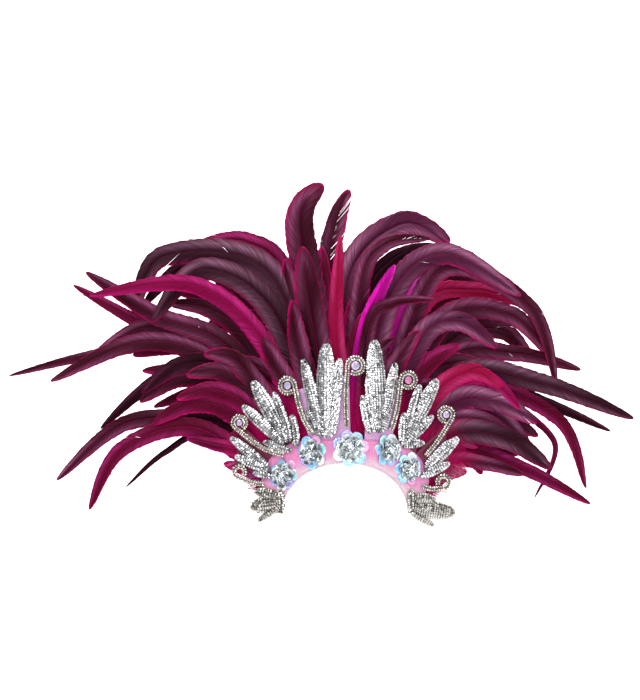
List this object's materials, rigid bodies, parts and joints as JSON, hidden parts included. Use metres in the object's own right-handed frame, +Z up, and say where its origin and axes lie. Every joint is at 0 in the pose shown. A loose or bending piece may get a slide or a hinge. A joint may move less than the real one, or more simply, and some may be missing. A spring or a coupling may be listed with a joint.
{
  "type": "feather headdress",
  "caption": "Carnival headdress: an arched pink band with silver sequin leaf sprays, beaded swirls and crystal rosettes, and a wide fan of plum and magenta feathers behind.",
  "frame": {"origin": "middle of the band's lower edge, where it sits on the top of the forehead", "axes": "+Z up, -Y out of the front of the crown, +X to the right as seen from the front"},
  "size_m": [0.6977, 0.2009, 0.3776],
  "materials": {
    "pink_satin": "satin",
    "silver_sequin": "sequinned",
    "silver_bead": "silver-lined",
    "lilac_stone": "faceted",
    "pearl_paillette": "iridescent",
    "crystal_rosette": "polished",
    "feather": "dyed feather"
  },
  "bodies": {
    "root": {"crown_base": "pink_satin", "spray_centre_left": "silver_sequin", "spray_centre_right": "silver_sequin", "spray_left": "silver_sequin", "spray_right": "silver_sequin", "spray_low_left": "silver_sequin", "spray_low_right": "silver_sequin", "spray_end_left": "silver_sequin", "spray_end_right": "silver_sequin", "swirl_centre": "silver_bead", "swirl_centre_left": "silver_bead", "swirl_centre_right": "silver_bead", "swirl_left": "silver_bead", "swirl_right": "silver_bead", "swirl_low_left": "silver_bead", "swirl_low_right": "silver_bead", "eye_stone_centre": "lilac_stone", "eye_stone_centre_left": "lilac_stone", "eye_stone_centre_right": "lilac_stone", "eye_stone_left": "lilac_stone", "eye_stone_right": "lilac_stone", "paillettes_centre": "pearl_paillette", "paillettes_left": "pearl_paillette", "paillettes_right": "pearl_paillette", "paillettes_far_left": "pearl_paillette", "paillettes_far_right": "pearl_paillette", "rosette_centre": "crystal_rosette", "rosette_left": "crystal_rosette", "rosette_right": "crystal_rosette", "rosette_far_left": "crystal_rosette", "rosette_far_right": "crystal_rosette", "plume_left_front": "feather", "plume_left_middle": "feather", "plume_left_back": "feather", "plume_centre_front": "feather", "plume_centre_middle": "feather", "plume_centre_back": "feather", "plume_right_front": "feather", "plume_right_middle": "feather", "plume_right_back": "feather"}
  },
  "joints": []
}
